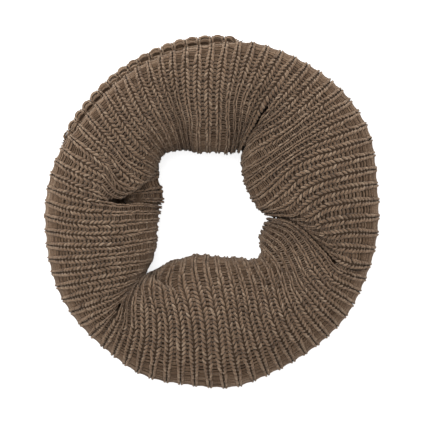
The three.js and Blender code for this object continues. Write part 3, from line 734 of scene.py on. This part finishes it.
def rowStarts(sheet, ribs, rowRange):
    # where the first row of each rib lies, so that the rows of neighbouring ribs meet squarely
    rows = np.linspace(rowRange[0] + 4, rowRange[1] - 4, 40)
    start = 0.0
    starts = []
    for rib in ribs:
        _, shear, rowHeight = stitchFrames(sheet, np.full(rows.shape, float(rib)), rows)
        starts.append(start % 1.0)
        start -= float(np.mean(shear / rowHeight))
    return starts


def knitStitches(name, sheet, ribs, rowRange, lastBar, turnOf, look):
    # lastBar tells whether a bar lies at a place along a groove; turnOf gives the section's turn of a row
    starts = rowStarts(sheet, ribs, rowRange)
    rib = np.concatenate([np.full(rowRange[1] - rowRange[0], float(r)) for r in ribs])
    row = np.concatenate([np.arange(*rowRange) + s for s in starts])
    width, shear, rowHeight = stitchFrames(sheet, rib, row)
    shows = width > stitch["narrowest"]
    rib, row, width, shear, rowHeight = [values[shows] for values in (rib, row, width, shear, rowHeight)]
    turn = turnOf(row)
    opens, opened, closes, closed = stitch["openTurns"]
    isOpen = smoothStep(turn, opens, opened) * (1 - smoothStep(turn, closes, closed))
    isOpen = isOpen * smoothStep(width, *stitch["openWidths"])
    squeeze = np.clip(width / stitch["ribWidth"], *stitch["squeezeRange"])
    strays = chance.normal(0, stitch["wander"], (4, 3, len(rib)))
    tint = chance.normal(0, stitch["tintSpread"], (4, len(rib)))
    closedReach = -stitch["barClosed"][0][0]
    openReach = -stitch["barOpen"][0][0]
    reach = closedReach + isOpen * (openReach - closedReach)
    room = width / 2 - squeeze * (stitch["ribWidth"] / 2 - reach)
    room = np.clip(room / reach, *stitch["roomRange"])
    crowded = 1 - smoothStep(squeeze, *stitch["crowdSqueeze"])
    atRim = (1 - smoothStep(turn, *stitch["rimTurns"])) * (1 - crowded)
    merge = 1 - stitch["crowdMerge"] * crowded - stitch["rimMerge"] * atRim
    drop = stitch["crowdDrop"] * crowded
    joined = np.maximum(isOpen, 1 - smoothStep(turn, *stitch["joinTurns"]))
    apart = stitch["secondBar"] + joined * (stitch["joinedBar"] - stitch["secondBar"])
    # painted light and shade: the piece's painted light, less painted shade where the ribs crowd
    shade = look["paintedLight"] - stitch["crowdShade"] * crowded
    allPoints = []
    allFaces = []
    allUvs = []
    allToneAndShade = []
    total = 0
    for p, (kind, side) in enumerate([("leg", -1), ("leg", 1), ("bar", 1), ("bar", 1)]):
        isBar = kind == "bar"
        sides = stitch[kind + "Sides"]
        closedPath = [(side * x, *rest) for x, *rest in stitch[kind + "Closed"]]
        openPath = [(side * x, *rest) for x, *rest in stitch[kind + "Open"]]
        closedShape, faces, uvs = yarnTemplate(closedPath, sides)
        openShape, _, _ = yarnTemplate(openPath, sides)
        place = np.flatnonzero(lastBar(rib + 0.5, row) if isBar else np.ones(len(rib), bool))
        shape = closedShape + isOpen[place, None, None] * (openShape - closedShape)
        x = shape[..., 0] * (room if isBar else squeeze * merge)[place, None]
        x = x + (width[place, None] / 2 if isBar else strays[p, 0, place, None])
        y = shape[..., 1] + (apart[place, None] if p == 3 else 0)
        y = y * rowHeight[place, None] / stitch["rowHeight"] + strays[p, 1, place, None]
        lift = shape[..., 2] + stitch["liftWander"] * strays[p, 2, place, None]
        if isBar:
            lift = lift - drop[place, None] + look["arch"] * (1 - (shape[..., 0] / closedReach) ** 2)
        else:
            lift = lift - look["arch"] / 2
        acrossRibs = np.clip(x / width[place, None], *stitch[kind + "Span"])
        rows = row[place, None] + (y - acrossRibs * shear[place, None]) / rowHeight[place, None]
        points, out = onChart(sheet, rib[place, None] + acrossRibs, rows)
        points = points + out * lift[..., None]
        points[..., 2] = np.maximum(points[..., 2], 0.2)
        count, corners = x.shape
        allPoints.append(points.reshape(-1, 3))
        shifted = faces[None] + (np.arange(count) * corners)[:, None, None] + total
        allFaces.append(shifted.reshape(-1, 4))
        allUvs.append(np.broadcast_to(uvs[None], (count, *uvs.shape)).reshape(-1, 2))
        # painted shade on the yarn's lowest parts, where they lie in the recesses
        low = np.clip((stitch["deepShadeRange"][0] - shape[..., 2]) / stitch["deepShadeRange"][1], 0, 1)
        allToneAndShade.append((tint[p, place, None] - stitch["deepShade"] * low + shade[place, None]).ravel())
        total += count * corners
    points = np.concatenate(allPoints)
    faces = np.concatenate(allFaces)
    piece = makeMesh(name, points, faces, yarnWool, np.concatenate(allUvs), np.concatenate(allToneAndShade))
    print(name, "knitted,", len(rib), "stitches")
    return piece


# The cloth under the stitches: a thin closed shell with low ridges under the ribs, higher where it is bare.
ground = {
    "ribParts": [-0.5, -0.32, -0.14, 0.14, 0.32],
    "rowStep": 1.0,
    "sink": 2.6,         # the grooves, under the solid's own
    "ridge": 2.5,        # the ridges under the yarn
    "bareRidge": 4.4,    # and where none lies
    "archSink": 1.6,     # under the legs of a cloth whose bars arch out
    "archGap": 0.9,      # between those bars and the cloth
    "thickness": 1.6,
}


def knitGround(name, sheet, rowRange, arch):
    # arch raises it between the ribs instead of under them
    firstRib = sheet["firstRib"]
    lastRib = sheet["lastRib"]
    middles = np.arange(np.ceil(firstRib), np.floor(lastRib) + 1)
    ribPlaces = [middle + part for middle in middles for part in ground["ribParts"]]
    ribPlaces = np.array([firstRib] + [r for r in ribPlaces if firstRib < r < lastRib] + [lastRib])
    rowPlaces = np.linspace(0, sheet["rowCount"], round(sheet["rowCount"] / ground["rowStep"]) + 1)
    rib, row = np.meshgrid(ribPlaces, rowPlaces, indexing="ij")
    points, out = onChart(sheet, rib, row)
    covered = smoothStep(row, rowRange[0] - 1, rowRange[0] + 2)
    covered = covered * (1 - smoothStep(row, rowRange[1] - 2, rowRange[1] + 1))
    ridge = ground["bareRidge"] + covered * (ground["ridge"] - ground["bareRidge"])
    ridge = np.cos(np.pi * (rib - np.round(rib))) ** 2 * ridge
    if arch:
        ridge = ground["sink"] + (arch - ground["archGap"]) * np.sin(np.pi * rib) ** 2 - ground["archSink"]
    over = points + out * (ridge - ground["sink"])[..., None]
    under = points - out * (ground["sink"] + ground["thickness"])
    over[..., 2] = np.maximum(over[..., 2], 0)
    under[..., 2] = np.maximum(under[..., 2], 0.4)
    columns, rows = rib.shape
    index = np.arange(columns * rows).reshape(columns, rows)
    below = index + columns * rows
    quads = lambda a: np.stack([a[:-1, :-1], a[1:, :-1], a[1:, 1:], a[:-1, 1:]], axis=-1).reshape(-1, 4)
    faces = [quads(index), quads(below)[:, ::-1]]
    rim = np.concatenate([index[:, 0], index[-1, 1:], index[-2::-1, -1], index[0, -2:0:-1]])
    rimBelow = rim + columns * rows
    nextRim = np.roll(rim, -1)
    faces.append(np.stack([rim, rimBelow, rimBelow[np.r_[1:len(rim), 0]], nextRim], axis=-1))
    faces = np.concatenate(faces)
    uvs = np.stack([rib.ravel(), row.ravel()], axis=-1)
    uvs = np.concatenate([uvs, uvs])[faces.ravel()]
    allPoints = np.concatenate([over.reshape(-1, 3), under.reshape(-1, 3)])
    # in the darker copy of the wool: painted shade in the gaps between the stitches
    piece = makeMesh(name, allPoints, faces, shadedGroundWool, uvs, np.zeros(len(allPoints)))
    return piece


# The four stretches of the loop: rib paths, the creases at their ends, whether they lie over a layer and so
# are spared the marked dent, into how many pieces their stitches go, and what they rest on.
stretches = {
    "top": {
        "paths": topPaths, "start": "upperRight", "end": "left",
        "over": True, "parts": 2, "rests": "under_layer",
    },
    "left": {
        "paths": leftPaths, "start": "leftLip", "end": "lowerLeft",
        "over": False, "parts": 1, "rests": "floor",
    },
    "bottom": {
        "paths": bottomPaths, "start": "lowerLeft", "end": "lowerRight",
        "over": True, "parts": 2, "rests": "floor",
    },
    "right": {
        "paths": rightPaths, "start": "lowerRight", "end": "upperRight",
        "over": True, "parts": 1, "rests": "floor",
    },
}
# What of them is stitched, by turns of the section, and how; no bar crosses a crease of more than openShare.
# paintedLight: how much lighter the roll's stitches are painted, painted light
stitched = {"firstTurn": -66, "lastTurn": 236, "arch": 0, "paintedLight": 0.12, "openShare": 0.4}


def makeStretch(name, stretch):
    firstRib = stretch["paths"][0][0]
    lastRib = stretch["paths"][-1][0]
    surface = lambda rib, turn: stretchSurface(stretch, rib, turn)
    firstTurn = -90 - roll["hemTurn"]
    lastTurn = 270 + roll["hemTurn"]
    sheet = makeChart(surface, firstRib, lastRib, firstTurn, lastTurn)
    turns, shares = turnShares(surface, firstRib, lastRib, firstTurn, lastTurn)
    ends = np.interp([stitched["firstTurn"], stitched["lastTurn"]], turns, shares) * sheet["rowCount"]
    rowRange = (round(ends[0]), round(ends[1]))
    turnOf = lambda row: np.interp(row / sheet["rowCount"], shares, turns)
    crease = np.array(creases[stretch["end"]], float)

    def lastBar(groove, row):
        points, _ = onChart(sheet, groove, row)
        radius = np.hypot(points[..., 0] - roll["centre"][0], points[..., 1] - roll["centre"][1])
        isCrease = throughKnots(crease[:, 0], crease[:, 2], radius) > stitched["openShare"]
        return ~((groove > lastRib - 0.1) & isCrease)

    cloth = knitGround("cloth_" + name, sheet, rowRange, stitched["arch"])
    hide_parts("stretch_" + name)
    ribs = np.arange(np.ceil(firstRib), np.floor(lastRib) + 1)
    for n, group in enumerate(np.array_split(ribs, stretch["parts"])):
        label = "stitches_" + name + ("_" + "ab"[n] if stretch["parts"] > 1 else "")
        knitStitches(label, sheet, group, rowRange, lastBar, turnOf, stitched)


def turnShares(surface, firstRib, lastRib, firstTurn, lastTurn):
    # how far round the section each turn lies, as a share of its length
    turns = np.linspace(firstTurn, lastTurn, 200)
    middle = surface(np.array([(firstRib + lastRib) / 2]), turns)[0]
    reach = np.concatenate([[0], np.cumsum(np.linalg.norm(np.diff(middle, axis=0), axis=1))])
    return turns, reach / reach[-1]


# The lower layer of the loop, a folded edge that looks out from under the roll.
lowerLayer = {
    "firstRib": 15,
    "lastRib": 34,
    "lip": 11,
    "tuck": 11,
    "outset": 1.2,       # how far it stands out past its solid
    "trough": 6,         # depth of the soft trough along the roll over it
    "troughWidth": 3.0,
    "firstRow": 3,       # the first row that is stitched
    "arch": 2.0,         # how far its bars arch out
    # painted light: the lower layer is painted lighter than the roll, as if better lit
    "paintedLight": 0.24,
}


def lowerSurface(rib, turn):
    share = (rib - lowerLayer["firstRib"]) / (lowerLayer["lastRib"] - lowerLayer["firstRib"])
    edge = np.array(underEdge, float)
    angle = (edge[0, 0] + (edge[-1, 0] - edge[0, 0]) * share)[:, None]
    radius = throughKnots(edge[:, 0], edge[:, 1], angle) - roll["ribHeight"] + lowerLayer["outset"]
    height = roundRing(lift, angle) - roll["seamGap"]
    bend = np.radians(np.clip(turn, -90, 90))[None, :]
    past = np.maximum(np.abs(turn) - 90, 0)[None, :]
    run = lowerLayer["lip"] * (1 - np.cos(bend)) + lowerLayer["tuck"] * past / roll["hemTurn"]
    x = (radius - run) * np.cos(np.radians(angle)) + roll["centre"][0]
    y = (radius - run) * np.sin(np.radians(angle)) + roll["centre"][1]
    level = height / 2 * (1 + np.sin(bend))
    away = (radius - run - roundRing(outerEdge, angle)) / lowerLayer["troughWidth"]
    level = level - lowerLayer["trough"] * np.exp(-away ** 2) * (turn > 0)[None, :] * level / (height + 1)
    return np.stack(np.broadcast_arrays(x, y, level), axis=-1)


def makeLowerLayer():
    firstRib = lowerLayer["firstRib"]
    lastRib = lowerLayer["lastRib"]
    endTurn = 90 + roll["hemTurn"]
    sheet = makeChart(lowerSurface, firstRib, lastRib, -endTurn, endTurn)
    ribs = np.arange(firstRib + 1, lastRib)
    rows = (lowerLayer["firstRow"], sheet["rowCount"] - 1)
    cloth = knitGround("cloth_lower_layer", sheet, rows, lowerLayer["arch"])
    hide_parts("under_layer")
    always = lambda groove, row: groove < lastRib
    turnOf = lambda row: row * 0
    stitches = knitStitches("stitches_lower_layer", sheet, ribs, rows, always, turnOf, lowerLayer)


# A fold of the loop that looks out of the left crease: its ribs fan out from deep in it to the hole's edge.
leftFold = {
    "ribs": 3,
    "root": ((-90, 26, 53), (-85, 9, 56)),   # x, y and height of the places from which its sides start
    "edgeAngles": (140, 171),                # where they go over the hole's edge
    "edgeHeight": 45,
    "edgeDrop": 9,                           # how far it bends down just before the edge
    "dropFrom": 0.72,                        # and the share of its way where that begins
    "inset": -2.0,
    "firstTurn": 100,
    "lastTurn": 236,
    "likeTurn": 30,                          # its stitches look like those at this turn of the roll
    "arch": 0,
    # painted light: none, so the fold deep in the crease is painted darker than the roll
    "paintedLight": 0.0,
}


def foldSurface(rib, turn):
    fold = leftFold
    share = (rib / fold["ribs"])[:, None]
    angle = fold["edgeAngles"][0] + share * (fold["edgeAngles"][1] - fold["edgeAngles"][0])
    section = sectionAt(angle, fold["inset"])
    edgeRadius, _ = sectionPoint(section, 180)
    radius, height = sectionPoint(section, np.maximum(turn, 180)[None, :])
    t = np.clip((turn - fold["firstTurn"]) / (180 - fold["firstTurn"]), 0, 1)[None, :]
    root = [fold["root"][0][k] + share * (fold["root"][1][k] - fold["root"][0][k]) for k in range(3)]
    past = (radius - edgeRadius) * (turn > 180)[None, :]
    toEdge = edgeRadius * np.cos(np.radians(angle)) + roll["centre"][0] - root[0]
    x = root[0] + toEdge * t + past * np.cos(np.radians(angle))
    toEdge = edgeRadius * np.sin(np.radians(angle)) + roll["centre"][1] - root[1]
    y = root[1] + toEdge * t + past * np.sin(np.radians(angle))
    edgeLevel = fold["edgeHeight"] - fold["edgeDrop"]
    top = root[2] + (fold["edgeHeight"] - root[2]) * t - fold["edgeDrop"] * smoothStep(t, fold["dropFrom"], 1)
    level = np.where(turn[None, :] > 180, height * edgeLevel / roll["sideHeight"], top)
    return np.stack(np.broadcast_arrays(x, y, level), axis=-1)


def makeLeftFold():
    first = leftFold["firstTurn"]
    last = leftFold["lastTurn"]
    sheet = makeChart(foldSurface, 0, leftFold["ribs"], first, last)
    rows = (1, sheet["rowCount"] - 1)
    cloth = knitGround("cloth_left_fold", sheet, rows, leftFold["arch"])
    always = lambda groove, row: groove < leftFold["ribs"]
    ribs = np.arange(leftFold["ribs"]) + 0.5
    turnOf = lambda row: row * 0 + leftFold["likeTurn"]
    stitches = knitStitches("stitches_left_fold", sheet, ribs, rows, always, turnOf, leftFold)


# The layers rolled up inside, which close the creases and the underside.
inside = {
    "columns": 240,
    "turns": 46,
    "rowStep": 1.2,
    "liftLook": 5,           # how far to each side its underside heeds the lower layer
    "inset": 6.8,
    "chordRoom": 2.5,
    "shelf": 6.8,
    "grooveWidth": 18,
    "grooveDepths": {"upperRight": 16, "left": 22, "lowerLeft": 16, "lowerRight": 16},
    "ridge": 1.1,
    "ribs": 74,
}


def makeInside():
    angle = np.linspace(0, 360, inside["columns"], endpoint=False)[:, None]
    turn = np.linspace(0, 180, inside["turns"])[None, :]
    section = sectionAt(angle, inside["inset"])
    coverRadius, _ = sectionPoint(sectionAt(angle), turn)
    groove = np.zeros(coverRadius.shape)    # shallower than the solid's, so that no crease shows the floor
    for name, deep in inside["grooveDepths"].items():
        rows = np.array(creases[name], float)
        line = throughKnots(rows[:, 0], rows[:, 1], coverRadius)
        share = throughKnots(rows[:, 0], rows[:, 2], coverRadius)
        away = np.radians(angleBetween(angle, line)) * coverRadius / inside["grooveWidth"]
        groove = np.maximum(groove, deep * share * np.exp(-away ** 4))
    ridge = inside["ridge"] * (0.5 - 0.5 * np.cos(np.radians(angle * inside["ribs"])))
    over = placeOnRoll(section, turn, angle, groove + ridge + dentDepth(angle, coverRadius, False))
    innerFoot = section["middle"] - section["half"] + roll["cornerWidth"]
    outerFoot = section["middle"] + section["half"] - roll["cornerWidth"]
    base = np.maximum(roundRing(lift, angle - inside["liftLook"]), section["base"])
    base = np.maximum(base, roundRing(lift, angle + inside["liftLook"]))
    tuck = roll["hemTuck"]
    room = inside["chordRoom"]
    shelf = inside["shelf"]
    flat = np.zeros(angle.shape)
    under = [
        (innerFoot, flat + shelf), (innerFoot + tuck, flat + shelf), (innerFoot + tuck + room, flat),
        (outerFoot - tuck - room, flat), (outerFoot - tuck, base + shelf), (outerFoot, base + shelf),
    ]
    floorPoints = []
    for radius, height in under:
        x = radius * np.cos(np.radians(angle)) + roll["centre"][0]
        y = radius * np.sin(np.radians(angle)) + roll["centre"][1]
        floorPoints.append(np.stack([x, y, height], axis=-1))
    points = np.concatenate([over, *floorPoints], axis=1)
    columns, rows = points.shape[:2]
    index = np.arange(columns * rows).reshape(columns, rows)
    beside = np.roll(index, -1, axis=0)
    faces = np.stack([index, beside, np.roll(beside, -1, axis=1), np.roll(index, -1, axis=1)], axis=-1)
    faces = faces.reshape(-1, 4)
    ribs = np.arange(columns) * inside["ribs"] / columns
    rib, row = np.meshgrid(ribs, np.arange(rows) * inside["rowStep"], indexing="ij")
    uvs = np.stack([rib.ravel(), row.ravel()], axis=-1)[faces.ravel()]
    toneAndShade = np.zeros(columns * rows)
    # in the darker copy of the wool: painted shade deep in the creases
    piece = makeMesh("inner_layers", points.reshape(-1, 3), faces, shadedGroundWool, uvs, toneAndShade)
    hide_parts("hidden_layers")


for name, stretch in stretches.items():
    makeStretch(name, stretch)
makeLowerLayer()
makeInside()
makeLeftFold()
print("knitting done")
